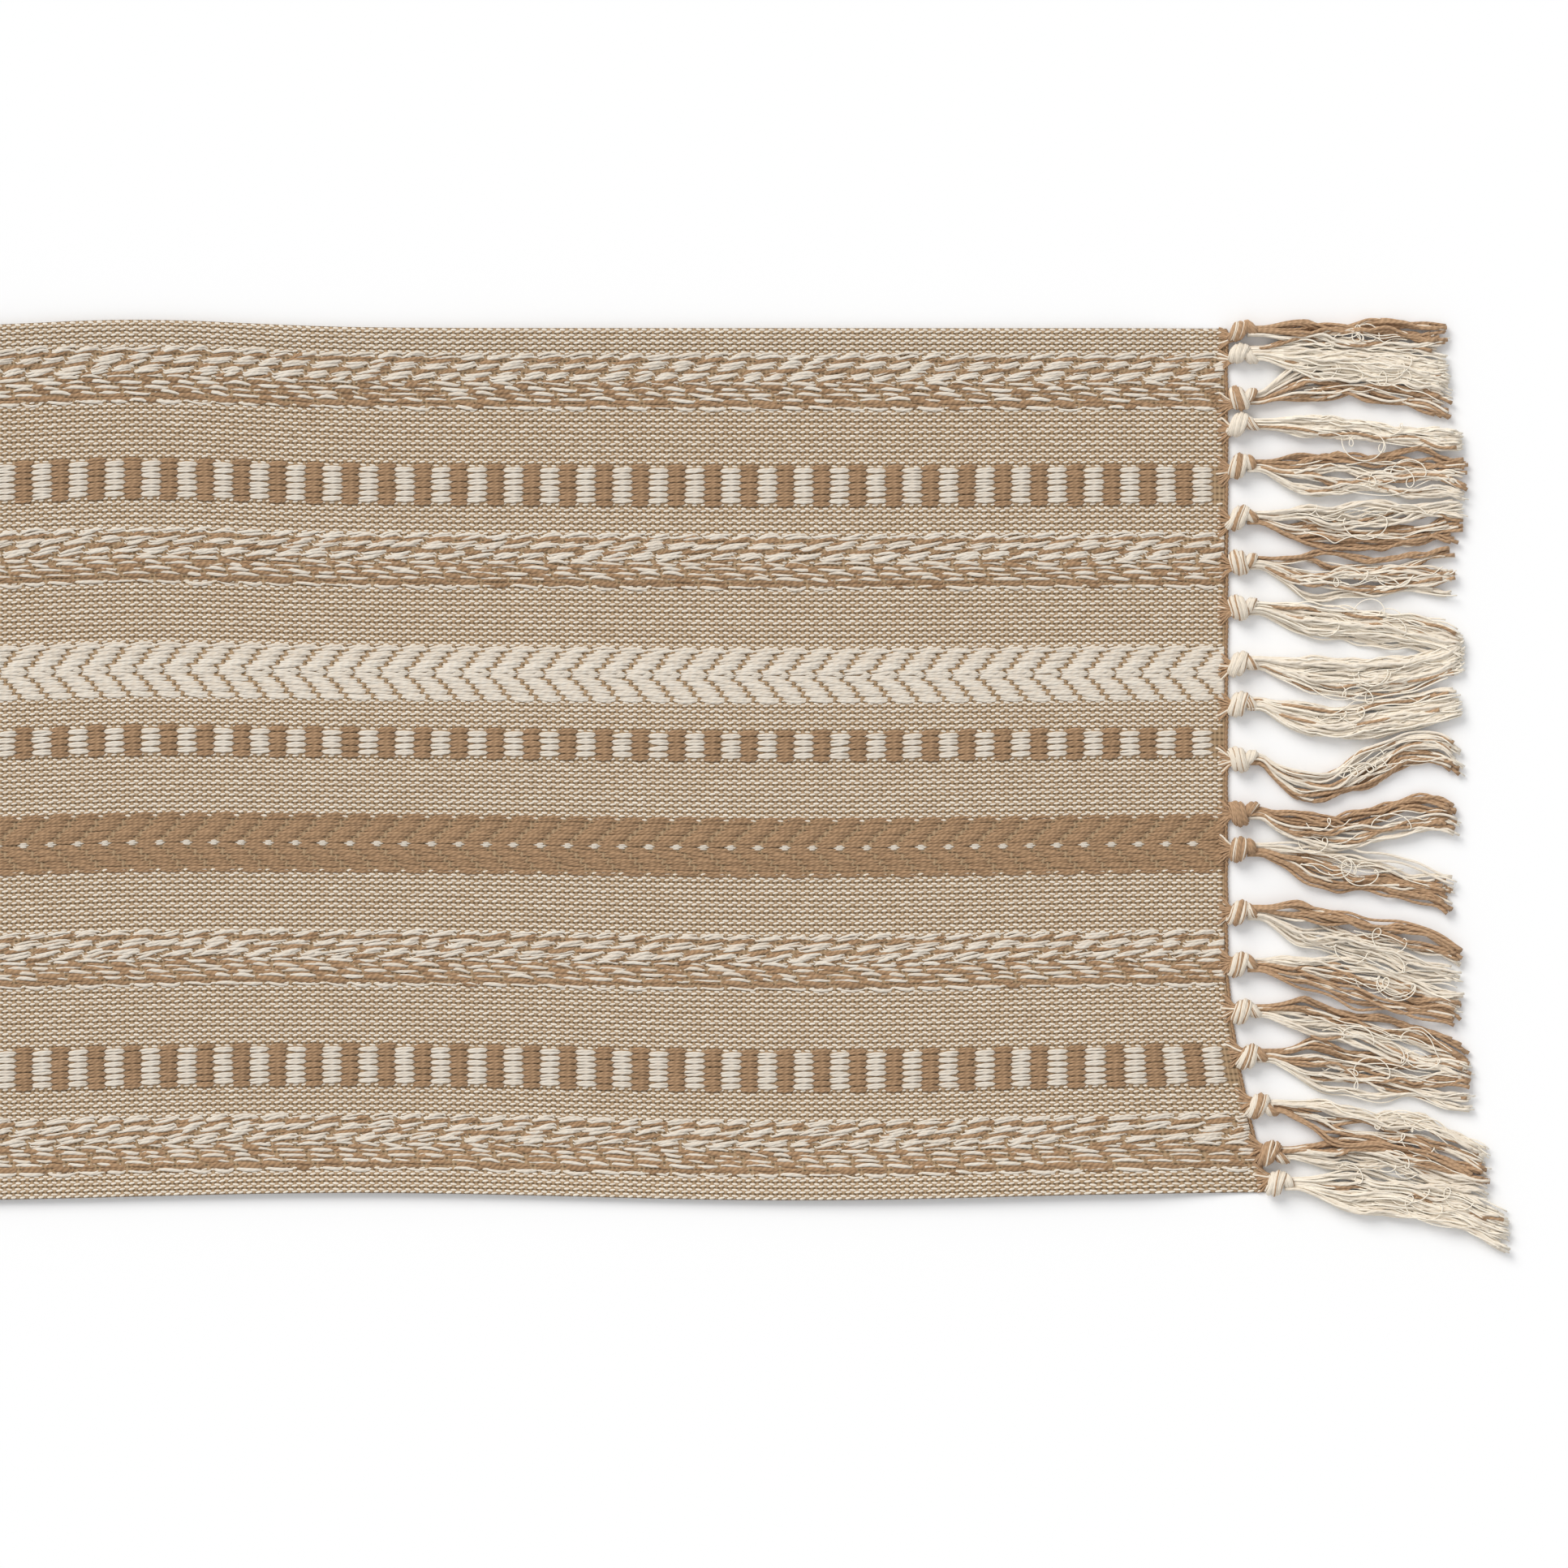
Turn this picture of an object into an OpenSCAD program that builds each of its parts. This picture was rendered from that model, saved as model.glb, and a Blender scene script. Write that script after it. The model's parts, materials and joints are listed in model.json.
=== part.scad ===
// Woven table runner: a flat striped cloth with knotted tassels along both ends.
// X runs along the cloth, Y across it, and Z up from the surface it lies on.
// The origin is the middle of the cloth's underside.

/* [Cloth] */
// Length of the woven cloth along its +Y edge, without its fringe
cloth_l = 1829; // [1200:1:2700]
// Width of the cloth
cloth_w = 381; // [340:1:460]
// Thickness of the plain-woven ground
ground_t = 1.3; // [0.8:0.1:1.6]
// Height of the patterned stripes above the ground
float_t = 0.8; // [0.4:0.1:1]
// How far the -Y corner of each end is drawn out past the rest of the end
corner_skew = 18; // [0:1:20]

/* [Overhang] */
// Length of cloth that hangs over each end of the table
drop_l = 152; // [120:1:300]

/* [Edge binding] */
// Width of the twisted binding along each cut end
binding_w = 2.4; // [1.5:0.1:4]
// Height of the twisted binding
binding_t = 2.4; // [1.8:0.1:3]

/* [Fringe] */
// Length of the fringe beyond the cloth, knots and all
fringe_l = 103; // [70:1:140]
// Length of a knot and its gathered neck, along the yarns
knot_l = 10.1; // [8:0.1:11]
// Width of a knot, across the yarns
knot_w = 8.8; // [7:0.1:9]
// Height of a knot
knot_t = 8.5; // [7:0.1:10]
// Half the width of a tassel at its widest
tassel_half_w = 8.5; // [5:0.1:9]
// Thickness of a tassel at its fullest
tassel_t = 6; // [5:0.1:7]

/* [Hidden] */
CREAM = "#E2D6C3";
TAN = "#A58A69";
MIXED = "#C5B092";
GROUND = "#C3B299";

// The stripes from the +Y edge to the -Y edge: the weave and the width of each
STRIPES = [
    ["plain", 11.9], ["mixed", 23.6], ["plain", 24.1], ["check", 18.5], ["plain", 12.8],
    ["mixed", 23.1], ["plain", 26.3], ["cream", 23.1], ["plain", 12.3], ["check", 13.9],
    ["plain", 24.9], ["tan", 25.3], ["plain", 26.4], ["mixed", 23.2], ["plain", 25.7],
    ["check", 19.1], ["plain", 12.9], ["mixed", 23.6], ["plain", 10.3]
];

// The tassels from the +Y edge to the -Y edge: the place of the knot across the cloth,
// how far the tip lies towards -Y from it, and the yarns
TASSELS = [
    [186, 3, "tan"], [176.5, 6, "cream"], [157, 3, "mixed"], [145.5, 6, "cream"],
    [127.5, 6, "mixed"], [105, 2, "mixed"], [85.5, 4, "mixed"], [66, 14, "cream"],
    [41.5, 4, "cream"], [24, 4, "cream"], [0, 2, "mixed"], [-23.5, 5, "tan"],
    [-39, 18, "tan"], [-66.5, 24, "mixed"], [-89, 20, "mixed"], [-109.5, 22, "mixed"],
    [-129, 20, "mixed"], [-150.5, 24, "mixed"], [-171, 18, "mixed"], [-184, 20, "cream"]
];

// The stripes and tassels are laid out for this width and stretch with the cloth
layout_w = 381;
stretch = cloth_w / layout_w;

// Both ends of the cloth fold about a line just above its thickest stripes
top_z = ground_t + float_t;
fold_z = top_z + 0.3;
fold_x = cloth_l / 2 - drop_l;
fold_gap = 0.15;

// The -Y corner starts to draw out here, and its edge is made of straight steps
skew_y = -90;
skew_power = 1.5;
skew_steps = 6;
edge_ys = [
    cloth_w / 2,
    for (k = [0:skew_steps]) skew_y + (-cloth_w / 2 - skew_y) * k / skew_steps
];

// Along X: the woven end, the knots, the hinge of each tassel and the tips
end_x = cloth_l / 2 - binding_w;
knot_gap = 0.4;
knot_x = cloth_l / 2 + knot_gap;
hinge_gap = 3.5;
hinge_x = knot_x + knot_l + hinge_gap;
hinge_z = tassel_t / 2;
tassel_l = cloth_l / 2 + fringe_l - hinge_x;

// Least room between two neighbours along the fringe
side_room = 0.8;
last = len(TASSELS) - 1;

// The narrow start of a tassel, behind its hinge, which clears the knot at every angle
start_l = 2.6;
start_half_t = 1.5;
start_half_w = 1.8;

LAYERS = ["ground_cloth", "mixed_braids", "check_stripes", "cream_chevron", "tan_chevron"];
PLACES = ["span", "left", "right"];
ENDS = ["left", "right"];

function tassel_name(side, i) = str("tassel_", side, i < 9 ? "_0" : "_", i + 1);

// How far the end of the cloth is drawn out at y
function skew(y) = y >= skew_y ? 0
    : corner_skew * pow((skew_y - y) / (skew_y + cloth_w / 2), skew_power);

// Distance from the +Y edge to the near side of stripe i, in the layout's own width
function before(i) = i == 0 ? 0 : before(i - 1) + STRIPES[i - 1][1];

// Middle of stripe i, across the cloth
function stripe_y(i) = cloth_w / 2 - stretch * (before(i) + STRIPES[i][1] / 2);

// Middle of tassel i across the cloth, x beyond its hinge
function tassel_y(i, x = 0) = stretch * TASSELS[i][0] - TASSELS[i][1] * max(0, x) / tassel_l;

// How much further out tassel i starts than tassel j, because of the drawn-out corner
function lead(i, j) = skew(tassel_y(i)) - skew(tassel_y(j));

// Half the room that tassel i has there, on its tighter side, between its two neighbours
function half_room(i, x = 0) = (min(
    i == 0 ? layout_w : tassel_y(i - 1, x + lead(i, i - 1)) - tassel_y(i, x),
    i == last ? layout_w : tassel_y(i, x) - tassel_y(i + 1, x + lead(i, i + 1))
) - side_room) / 2;

// The two ends of a layer at height z: mitred at each fold, and past the woven end
function inner_x(z) = fold_x + fold_z - z + fold_gap;
function span_x(z) = fold_x - fold_z + z - fold_gap;
function ends_at(place, z) =
    place == "span" ? [-span_x(z), span_x(z)] : [inner_x(z), end_x + corner_skew + 1];

function yarn_colour(yarns) = yarns == "cream" ? CREAM : yarns == "tan" ? TAN : MIXED;

// Draws its children at the +X end, or mirrored to the -X end
module at_end(side) {
    if (side == "left") mirror([1, 0, 0]) children();
    else children();
}

// An outline in X and Z, pushed w wide about y
module across(y, w) {
    translate([0, y + w / 2, 0]) rotate([90, 0, 0]) linear_extrude(height = w) children();
}

// The cloth seen from above, up to its woven end, from its middle on
module cloth_outline() {
    polygon([
        [0, cloth_w / 2],
        for (y = edge_ys) [end_x + skew(y), y],
        [0, -cloth_w / 2]
    ]);
}

// A flat layer of one part of the cloth, from height low to high, w wide about y
module layer(place, y, w, low, high) {
    at_low = ends_at(place, low);
    at_high = ends_at(place, high);
    at_end(place)
        intersection() {
            across(y, w)
                polygon([[at_low[0], low], [at_low[1], low], [at_high[1], high], [at_high[0], high]]);
            if (place != "span") linear_extrude(height = top_z) cloth_outline();
        }
}

// Every raised stripe of one weave, on one part of the cloth
module raised_stripes(weave, place) {
    for (i = [0:len(STRIPES) - 1])
        if (STRIPES[i][0] == weave)
            layer(place, stripe_y(i), stretch * STRIPES[i][1], ground_t, top_z);
}

module ground_cloth(place) {
    color(GROUND) layer(place, 0, cloth_w, 0, ground_t);
}

module mixed_braids(place) {
    color(MIXED) raised_stripes("mixed", place);
}

module check_stripes(place) {
    color(MIXED) raised_stripes("check", place);
}

module cream_chevron(place) {
    color(CREAM) raised_stripes("cream", place);
}

module tan_chevron(place) {
    color(TAN) raised_stripes("tan", place);
}

// The twisted cord along the last weft, as a flat bar that follows the drawn-out corner
module edge_binding(side) {
    steps = len(edge_ys) - 1;
    color(TAN)
        at_end(side)
            linear_extrude(height = binding_t)
                polygon([
                    for (y = edge_ys) [end_x + skew(y), y],
                    for (k = [steps:-1:0]) [end_x + binding_w + skew(edge_ys[k]), edge_ys[k]]
                ]);
}

// A knot lying on the surface: a lump w wide that narrows to a neck where it leaves the cloth
module knot(w) {
    neck_l = 3.2;
    neck_half_w = 1.8;
    neck_low = 0.8;
    neck_high = 4.2;
    nose_l = 2.4;
    flat_share = 0.3;
    intersection() {
        across(0, w)
            polygon([
                [0, neck_low], [neck_l, 0], [knot_l - nose_l, 0], [knot_l, flat_share * knot_t],
                [knot_l, (1 - flat_share) * knot_t], [knot_l - nose_l, knot_t], [neck_l, knot_t], [0, neck_high]
            ]);
        linear_extrude(height = knot_t)
            polygon([
                [0, -neck_half_w], [neck_l, -w / 2], [knot_l - nose_l, -w / 2], [knot_l, -flat_share * w],
                [knot_l, flat_share * w], [knot_l - nose_l, w / 2], [neck_l, w / 2], [0, neck_half_w]
            ]);
        rotate([90, 0, 90])
            linear_extrude(height = knot_l)
                polygon([
                    [-flat_share * w, 0], [flat_share * w, 0], [w / 2, flat_share * knot_t],
                    [w / 2, (1 - flat_share) * knot_t], [flat_share * w, knot_t], [-flat_share * w, knot_t],
                    [-w / 2, (1 - flat_share) * knot_t], [-w / 2, flat_share * knot_t]
                ]);
    }
}

module knots(side) {
    for (i = [0:last])
        color(yarn_colour(TASSELS[i][2]))
            at_end(side)
                translate([knot_x + skew(tassel_y(i)), tassel_y(i), 0]) knot(min(knot_w, 2 * half_room(i)));
}

// One point of a tassel's outline from above: x beyond its hinge, on the side of the sign
function outline_point(i, x, share, sign) = [
    x, tassel_y(i, x) - tassel_y(i) + sign * share * min(tassel_half_w, half_room(i, x))
];

// A tassel lying on the surface, flat-sided: its outline from above and from the side meet
module tassel(side, i) {
    swell_l = 10;
    swell_share = 0.6;
    belly_l = 35;
    tip_t = 2.5;
    reach = 3 * tassel_half_w + TASSELS[i][1];
    color(yarn_colour(TASSELS[i][2]))
        at_end(side)
            translate([hinge_x + skew(tassel_y(i)), tassel_y(i), 0])
                intersection() {
                    linear_extrude(height = tassel_t)
                        polygon([
                            [-start_l, start_half_w],
                            outline_point(i, swell_l, swell_share, 1),
                            outline_point(i, belly_l, 1, 1),
                            outline_point(i, tassel_l, 1, 1),
                            outline_point(i, tassel_l, 1, -1),
                            outline_point(i, belly_l, 1, -1),
                            outline_point(i, swell_l, swell_share, -1),
                            [-start_l, -start_half_w]
                        ]);
                    across(0, 2 * reach)
                        polygon([
                            [-start_l, hinge_z - start_half_t], [0, 0.2], [1, 0], [tassel_l, 0],
                            [tassel_l, tip_t], [belly_l, tassel_t], [1, tassel_t], [0, tassel_t - 0.2],
                            [-start_l, hinge_z + start_half_t]
                        ]);
                }
}

for (place = PLACES) {
    ground_cloth(place);
    mixed_braids(place);
    check_stripes(place);
    cream_chevron(place);
    tan_chevron(place);
}
for (side = ENDS) {
    edge_binding(side);
    knots(side);
    for (i = [0:last])
        tassel(side, i);
}
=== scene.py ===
import json
import math

import bpy
import numpy as np
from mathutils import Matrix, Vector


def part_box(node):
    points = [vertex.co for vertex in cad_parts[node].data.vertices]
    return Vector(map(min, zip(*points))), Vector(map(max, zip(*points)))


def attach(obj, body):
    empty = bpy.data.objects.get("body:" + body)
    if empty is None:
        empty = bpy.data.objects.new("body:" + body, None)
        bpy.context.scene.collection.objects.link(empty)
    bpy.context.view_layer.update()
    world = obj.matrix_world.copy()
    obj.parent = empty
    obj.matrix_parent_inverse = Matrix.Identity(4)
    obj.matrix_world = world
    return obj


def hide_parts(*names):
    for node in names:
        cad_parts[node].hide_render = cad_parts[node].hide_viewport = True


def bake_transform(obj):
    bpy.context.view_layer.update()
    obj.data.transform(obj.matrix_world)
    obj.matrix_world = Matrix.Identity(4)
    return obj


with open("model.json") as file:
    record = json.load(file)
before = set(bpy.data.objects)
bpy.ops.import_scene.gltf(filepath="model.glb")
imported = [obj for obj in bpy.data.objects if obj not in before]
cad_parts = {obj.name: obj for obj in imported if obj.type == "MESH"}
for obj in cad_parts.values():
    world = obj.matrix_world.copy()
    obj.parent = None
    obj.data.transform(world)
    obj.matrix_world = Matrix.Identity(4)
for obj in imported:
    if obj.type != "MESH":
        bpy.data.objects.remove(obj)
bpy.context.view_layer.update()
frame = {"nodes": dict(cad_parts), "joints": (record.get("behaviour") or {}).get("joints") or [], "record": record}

MM = 0.001
SIDES = {"left": -1, "right": 1}
JOINTS = {joint["name"]: joint for joint in frame["joints"]}
TASSEL_COUNT = sum(name.startswith("swing_right_") for name in JOINTS)

# The weave
WEFT = 1.97 * MM             # from one weft to the next, along the cloth
ROW = 1.30 * MM              # from one warp yarn of the ground to the next
PAIRING = 0.13               # how far the warp yarns of a pair draw together, in rows
CHEVRON = 6 * WEFT           # repeat of the chevrons and the mixed braids
CHECK = 8 * WEFT             # repeat of the checks
BASE_LOW, BASE_TOP = 0.1 * MM, 0.95 * MM
FLOAT_TOP = 2.0 * MM         # top of the raised yarns

# The yarns: the colours are linear. The materials blend each light colour towards its shade colour for painted
# shade in grooves, between wefts and down the sides of grains, and for darker fibres at random
CREAM, CREAM_SHADE = (0.88, 0.81, 0.705), (0.60, 0.49, 0.375)
THREAD, THREAD_SHADE = (0.93, 0.855, 0.73), (0.88, 0.78, 0.64)
LOOSE, LOOSE_SHADE = (0.85, 0.77, 0.655), (0.70, 0.595, 0.465)    # cream in the fringe
LOOSE_TAN, LOOSE_TAN_SHADE = (0.53, 0.34, 0.20), (0.23, 0.138, 0.072)
RAISED = (0.75, 0.69, 0.60)  # the cream of the raised yarns
TAN, TAN_SHADE = (0.43, 0.266, 0.148), (0.145, 0.082, 0.038)
WEFT_TAN, WEFT_SHADE = (0.50, 0.345, 0.205), (0.23, 0.145, 0.075)
# Painted shade in the gaps of the ground weave
GAP_SHADE = (0.07, 0.045, 0.02)


# ---------------------------------------------------------------- sizes, from the frame

def corners(node):
    """The vertices of a CAD node, as an array."""
    return np.array([v.co for v in frame["nodes"][node].data.vertices])


def stripes_of(layer):
    """The lowest and highest y of each stripe of one weave, from -Y to +Y."""
    ys = np.unique(np.round(corners(layer + "_span")[:, 1], 5))
    return list(zip(ys[::2], ys[1::2]))


HALF_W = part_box("ground_cloth_span")[1].y
binding = corners("edge_binding_right")
at_top = binding[binding[:, 1] > HALF_W - 1e-4][:, 0]
END, CLOTH_END = at_top.min(), at_top.max()      # inner and outer side of the binding
edge_ys = np.unique(np.round(binding[:, 1], 5))
edge_xs = np.array([binding[abs(binding[:, 1] - y) < 1e-4][:, 0].max() for y in edge_ys])
PATTERNED = ("mixed_braids", "check_stripes", "cream_chevron", "tan_chevron")
BANDS = sorted((low, high, layer) for layer in PATTERNED for low, high in stripes_of(layer))
edges = [-HALF_W] + [y for low, high, layer in BANDS for y in (low, high)] + [HALF_W]
PLAIN = list(zip(edges[::2], edges[1::2]))


def hinge(side, i):
    return np.array(JOINTS[f"swing_{side}_{i + 1:02d}"]["pos_m"])


HINGE_X = hinge("right", 0)[0]
KNOT_YS = np.array([hinge("right", i)[1] for i in range(TASSEL_COUNT)])


def smooth(t):
    t = np.clip(t, 0, 1)
    return t * t * (3 - 2 * t)


def skew(y):
    """How far the drawn-out corner carries the end of the cloth."""
    return np.interp(y, edge_ys, edge_xs) - CLOTH_END


def place(x, y, z):
    """Lays a point of the flat weave on the table: the edges sway, a corner is drawn out
    at each end, and the cloth lifts a little here and there."""
    x, y, z = np.broadcast_arrays(x, y, z)
    far = np.abs(x)
    beyond = np.where(x > 0, x, 0.26 - x)
    # How far the long edges sway, in mm
    top = -3.1 + 3.6 * np.exp(9.7 * (np.cos(2 * np.pi * (beyond - 0.44) / 0.9) - 1))
    bottom = 0.7 + 1.6 * np.cos(2 * np.pi * (beyond - 0.535) / 0.38)
    share = (y + HALF_W) / (2 * HALF_W)
    sway = MM * (bottom + (top - bottom) * share)
    out = skew(y) * smooth((far - END + 0.075) / 0.075)
    calm = 1 - smooth((far - END + 0.05) / 0.05)
    lift = 0.35 * MM * calm * (2 + np.sin(19 * x + 9 * y) + np.sin(11 * x - 23 * y + 1))
    lift = lift + 2.4 * MM * calm * smooth((np.abs(y) - HALF_W + 0.022) / 0.022)
    return np.stack([x + np.sign(x) * out, y + sway, z + lift], axis=-1)


# ---------------------------------------------------------------- mesh making

class Yarns:
    """Gathers the faces of one piece, with a UV map and a tone for each yarn."""

    def __init__(self):
        self.co, self.tone, self.corner, self.size, self.uv, self.slot = [], [], [], [], [], []
        self.count = 0

    def add(self, co, tone, *parts):
        """Adds vertices, and the faces on them: each part is some faces, the UVs of their
        corners and their material slot."""
        co = np.reshape(co, (-1, 3))
        self.co.append(co)
        self.tone.append(np.broadcast_to(tone, len(co)))
        for faces, uv, slot in parts:
            self.corner.append((faces + self.count).ravel())
            self.size.append(np.full(len(faces), faces.shape[1]))
            self.uv.append(np.reshape(uv, (-1, 2)))
            self.slot.append(np.full(len(faces), slot))
        self.count += len(co)

    def tubes(self, path, half_w, half_t, tone=0.5, slot=0, sides=6, up=(0, 0, 1), loop=False):
        """Closed yarns along path[yarn, ring], each half_w to the side and half_t up."""
        n, rings = path.shape[:2]
        half_w, half_t = (np.broadcast_to(h, (n, rings))[..., None, None] for h in (half_w, half_t))
        if loop:
            along = np.roll(path, -1, axis=1) - np.roll(path, 1, axis=1)
        else:
            along = np.gradient(path, axis=1)
        along = along / np.linalg.norm(along, axis=-1, keepdims=True)
        side = np.cross(np.asarray(up, float), along)
        side = side / np.linalg.norm(side, axis=-1, keepdims=True)
        upward = np.cross(along, side)
        angle = 2 * np.pi * (np.arange(sides) + 0.5) / sides
        across = side[:, :, None] * np.cos(angle)[:, None] * half_w
        rise = upward[:, :, None] * np.sin(angle)[:, None] * half_t
        co = path[:, :, None] + across + rise

        steps = rings if loop else rings - 1
        yarn, ring, k = np.meshgrid(np.arange(n), np.arange(steps), np.arange(sides), indexing="ij")
        after, beside = (ring + 1) % rings, (k + 1) % sides

        def vertex(r, s):
            return (yarn * rings + r) * sides + s

        faces = np.stack([vertex(ring, k), vertex(ring, beside),
                          vertex(after, beside), vertex(after, k)], axis=-1).reshape(-1, 4)
        gaps = np.linalg.norm(np.diff(path, axis=1, append=path[:, :1]), axis=-1)
        run = np.concatenate([np.zeros((n, 1)), np.cumsum(gaps, axis=1)], axis=1) / MM
        u0, u1 = run[yarn, ring], run[yarn, ring + 1]
        uv = np.stack([np.stack([u0, k / sides], -1), np.stack([u0, (k + 1) / sides], -1),
                       np.stack([u1, (k + 1) / sides], -1), np.stack([u1, k / sides], -1)], axis=-2)
        tones = np.broadcast_to(np.reshape(tone, (-1, 1)), (n, rings * sides)).ravel()
        parts = [(faces, uv, slot)]
        if not loop:
            first = np.arange(n)[:, None] * rings * sides
            ends = np.concatenate([first + np.arange(sides)[::-1],
                                   first + (rings - 1) * sides + np.arange(sides)])
            parts.append((ends, np.full((ends.size, 2), 0.5), slot))
        self.add(co, tones, *parts)

    def build(self, name, materials):
        mesh = bpy.data.meshes.new(name)
        co, corner, size = (np.concatenate(a) for a in (self.co, self.corner, self.size))
        mesh.vertices.add(len(co))
        mesh.vertices.foreach_set("co", co.astype(np.float32).ravel())
        mesh.loops.add(len(corner))
        mesh.loops.foreach_set("vertex_index", corner.astype(np.int32))
        mesh.polygons.add(len(size))
        mesh.polygons.foreach_set("loop_start", (np.cumsum(size) - size).astype(np.int32))
        mesh.polygons.foreach_set("material_index", np.concatenate(self.slot).astype(np.int32))
        mesh.uv_layers.new(name="UVMap").data.foreach_set(
            "uv", np.concatenate(self.uv).astype(np.float32).ravel())
        mesh.attributes.new("tone", "FLOAT", "POINT").data.foreach_set(
            "value", np.concatenate(self.tone).astype(np.float32))
        mesh.update(calc_edges=True)
        mesh.shade_smooth()
        for material in materials:
            mesh.materials.append(material)
        piece = bpy.data.objects.new(name, mesh)
        bpy.context.scene.collection.objects.link(piece)
        return piece


# ---------------------------------------------------------------- materials

class Graph:
    """A material whose colour, roughness and bump come from nodes."""

    def __init__(self, name):
        self.material = bpy.data.materials.new(name)
        self.material.use_nodes = True
        self.tree = self.material.node_tree
        self.shader = self.tree.nodes["Principled BSDF"]

    def node(self, kind, inputs=(), **settings):
        node = self.tree.nodes.new(kind)
        for key, value in settings.items():
            setattr(node, key, value)
        for key, value in dict(inputs).items():
            self.put(node.inputs[key], value)
        return node

    def put(self, socket, value):
        if isinstance(value, bpy.types.NodeSocket):
            self.tree.links.new(value, socket)
        else:
            socket.default_value = value

    def math(self, operation, a, b=0.0, clamp=False):
        node = self.node("ShaderNodeMath", {0: a, 1: b}, operation=operation, use_clamp=clamp)
        return node.outputs[0]

    def add(self, *terms):
        total = terms[0]
        for term in terms[1:]:
            total = self.math("ADD", total, term)
        return total

    def times(self, a, b):
        return self.math("MULTIPLY", a, b)

    def uv(self):
        uv_map = self.node("ShaderNodeUVMap", uv_map="UVMap")
        split = self.node("ShaderNodeSeparateXYZ", {0: uv_map.outputs[0]})
        return split.outputs[0], split.outputs[1]

    def tone(self):
        return self.node("ShaderNodeAttribute", attribute_name="tone").outputs["Fac"]

    def noise(self, x, y, z=0.0, detail=1.0):
        """Noise of unit size in the given coordinates, from 0 to 1."""
        point = self.node("ShaderNodeCombineXYZ", {0: x, 1: y, 2: z}).outputs[0]
        noise = self.node("ShaderNodeTexNoise", {"Vector": point, "Scale": 1.0, "Detail": detail})
        return noise.outputs[0]

    def blend(self, factor, a, b):
        node = self.node("ShaderNodeMix", data_type="RGBA")
        self.put(node.inputs[0], factor)
        for socket, value in ((node.inputs[6], a), (node.inputs[7], b)):
            self.put(socket, (*value, 1.0) if isinstance(value, tuple) else value)
        return node.outputs[2]

    def finish(self, colour, roughness, height, depth):
        bump = self.node("ShaderNodeBump", {"Strength": 0.6, "Distance": depth, "Height": height})
        self.put(self.shader.inputs["Base Color"], colour)
        self.put(self.shader.inputs["Roughness"], roughness)
        self.put(self.shader.inputs["Normal"], bump.outputs[0])
        self.shader.inputs["Specular IOR Level"].default_value = 0.2
        self.shader.inputs["Sheen Weight"].default_value = 0.12
        self.shader.inputs["Sheen Roughness"].default_value = 0.6
        return self.material


def yarn_material(name, light, shade, twist, groove, depth=0.2 * MM):
    """Two-ply cotton yarn: a ply passes every twist mm, with a groove between plies. The colour is painted lighter
    on each ply and darker in the groove, as painted shade, with darker fibres and slubs at random.
    """
    g = Graph(name)
    u, v = g.uv()
    tone = g.tone()
    turn = g.add(g.times(u, 1 / twist), g.times(v, 2.0))
    ply = g.math("SINE", g.times(turn, 2 * math.pi))
    ply = g.add(g.times(ply, 0.5), 0.5)
    fibres = g.noise(g.add(g.times(u, 0.6), g.times(v, 2.0)), g.times(v, 9.0), g.times(tone, 97.0), 2.0)
    slubs = g.noise(g.times(u, 0.12), g.times(tone, 61.0))
    # Painted shade: the colour darkens into the groove between plies by the groove share, and fibres, slubs and
    # tone vary it at random
    light_share = g.add(0.62 - 0.5 * groove, g.times(ply, groove), g.times(fibres, 0.5),
                        g.times(slubs, 0.35), g.times(tone, 0.3), -0.5)
    colour = g.blend(g.math("ADD", light_share, 0.0, clamp=True), shade, light)
    height = g.add(g.times(ply, 0.7), g.times(fibres, 0.3))
    return g.finish(colour, g.add(0.78, g.times(fibres, 0.2)), height, depth)


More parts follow.
